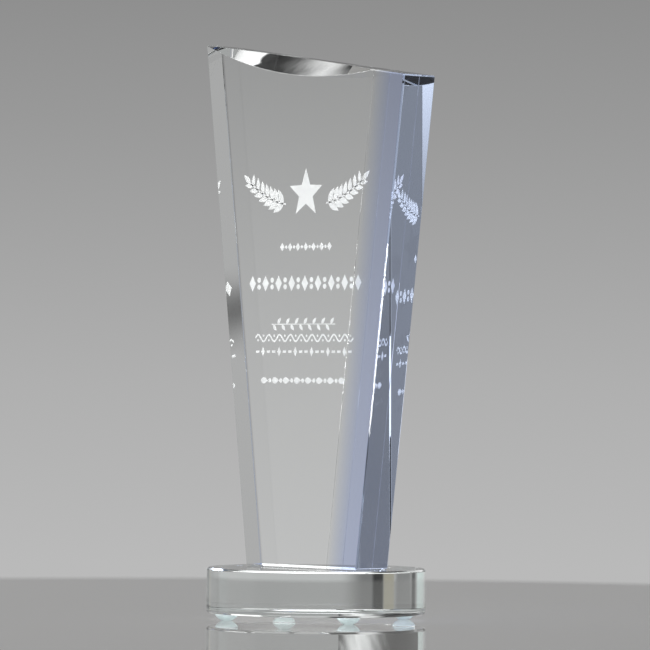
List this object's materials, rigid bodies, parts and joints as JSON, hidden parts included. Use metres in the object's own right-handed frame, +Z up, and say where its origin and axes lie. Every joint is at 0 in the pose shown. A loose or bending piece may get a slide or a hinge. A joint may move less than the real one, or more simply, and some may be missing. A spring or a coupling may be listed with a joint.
{
  "type": "crystal award",
  "caption": "Flared clear crystal plate with a violet crystal bar down its right side, a scooped sloping top, and a thick round crystal base on bumper feet.",
  "frame": {"origin": "middle of the round base's footprint, at the level its four feet stand on; the box's middle is 1.2 mm to the left of it, because the taller corner leans out further", "axes": "+Z up, -Y the front that the engraving is read from, +X towards the violet bar"},
  "size_m": [0.1274, 0.096, 0.2539],
  "materials": {
    "clear_crystal": "polished optical crystal",
    "violet_crystal": "polished optical crystal, coloured through",
    "clear_bond": "clear cured adhesive",
    "bumper_rubber": "clear moulded polyurethane",
    "foot_adhesive": "thin self-adhesive layer"
  },
  "bodies": {
    "root": {"clear_tower": "clear_crystal", "violet_side_bar": "violet_crystal", "side_bond_film": "clear_bond", "base_bond_film": "clear_bond", "round_base": "clear_crystal", "foot_right": "bumper_rubber", "foot_back": "bumper_rubber", "foot_left": "bumper_rubber", "foot_front": "bumper_rubber", "foot_adhesive_right": "foot_adhesive", "foot_adhesive_back": "foot_adhesive", "foot_adhesive_left": "foot_adhesive", "foot_adhesive_front": "foot_adhesive"}
  },
  "joints": []
}
